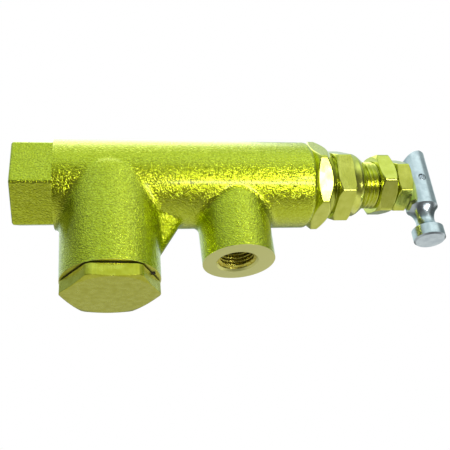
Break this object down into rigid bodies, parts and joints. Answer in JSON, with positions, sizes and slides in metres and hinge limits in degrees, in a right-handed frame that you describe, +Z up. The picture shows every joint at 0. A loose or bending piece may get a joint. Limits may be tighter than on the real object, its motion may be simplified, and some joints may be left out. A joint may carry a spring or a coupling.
{
  "type": "pilot valve",
  "caption": "Pilot valve in a cast bronze body with a hexagonal pipe inlet, a capped check valve boss, a pilot port, an adjusting screw and a toggle lever.",
  "frame": {"origin": "centre of the inlet, at the front face of its hexagon", "axes": "+X along the barrel from the inlet to the lever, +Z up, away from the two bosses that hang down, -Y the side seen in the picture"},
  "size_m": [0.1599, 0.0425, 0.0605],
  "materials": {
    "cast_bronze": "shot-blasted casting",
    "turned_brass": "turned",
    "zinc_plated_steel": "bright zinc plate",
    "stainless": "turned",
    "spring_steel": "drawn wire",
    "nitrile": "moulded",
    "gasket_sheet": "pressed sheet"
  },
  "bodies": {
    "housing_body": {"valve_body": "cast_bronze", "check_cap": "turned_brass", "cap_gasket": "gasket_sheet", "check_spring": "spring_steel", "pilot_seat": "stainless", "seat_oring": "nitrile", "pilot_spring": "spring_steel", "pilot_housing": "turned_brass", "housing_lock_nut": "turned_brass"},
    "poppet": {"check_poppet": "turned_brass", "check_seal": "nitrile", "seal_nut": "turned_brass"},
    "plunger": {"pilot_plunger": "turned_brass", "plunger_seal": "nitrile", "plunger_oring": "nitrile"},
    "button": {"spring_button": "turned_brass"},
    "stem": {"pull_stem": "stainless", "stem_ring": "spring_steel"},
    "lever": {"toggle_lever": "zinc_plated_steel", "lever_pin": "spring_steel"},
    "screw_lock_nut": {"adjusting_lock_nut": "turned_brass"},
    "screw": {"adjusting_screw": "turned_brass"}
  },
  "joints": [
    {"name": "check_lift", "type": "slide", "parent": "housing_body", "child": "poppet", "axis": [0, 0, -1], "range_m": [0, 0.0044], "stiffness_N_per_m": 1740, "springref_m": -0.0017, "deforming": ["check_spring"]},
    {"name": "plunger_lift", "type": "slide", "parent": "housing_body", "child": "plunger", "axis": [1, 0, 0], "range_m": [0, 0.0012], "stiffness_N_per_m": 11400, "springref_m": -0.0016},
    {"name": "stem_pull", "type": "slide", "parent": "plunger", "child": "button", "axis": [1, 0, 0], "range_m": [0, 0.00731], "deforming": ["pilot_spring"]},
    {"name": "lever_swivel", "type": "hinge", "parent": "button", "child": "stem", "pos_m": [0.092, 0, 0], "axis": [1, 0, 0], "continuous": true},
    {"name": "lever_flip", "type": "hinge", "parent": "stem", "child": "lever", "pos_m": [0.1532, 0, 0], "axis": [0, -1, 0], "range_deg": [0, 90]},
    {"name": "screw_advance", "type": "slide", "parent": "housing_body", "child": "screw_lock_nut", "axis": [-1, 0, 0], "range_m": [0, 0.00317]},
    {"name": "screw_turn", "type": "hinge", "parent": "screw_lock_nut", "child": "screw", "pos_m": [0.144, 0, 0], "axis": [-1, 0, 0], "range_deg": [0, 720]}
  ],
  "couplings": [
    {"joint": "stem_pull", "follows": "lever_flip", "m_per_rad": 0.0046473},
    {"joint": "screw_turn", "follows": "screw_advance", "rad_per_m": 3957.9}
  ]
}
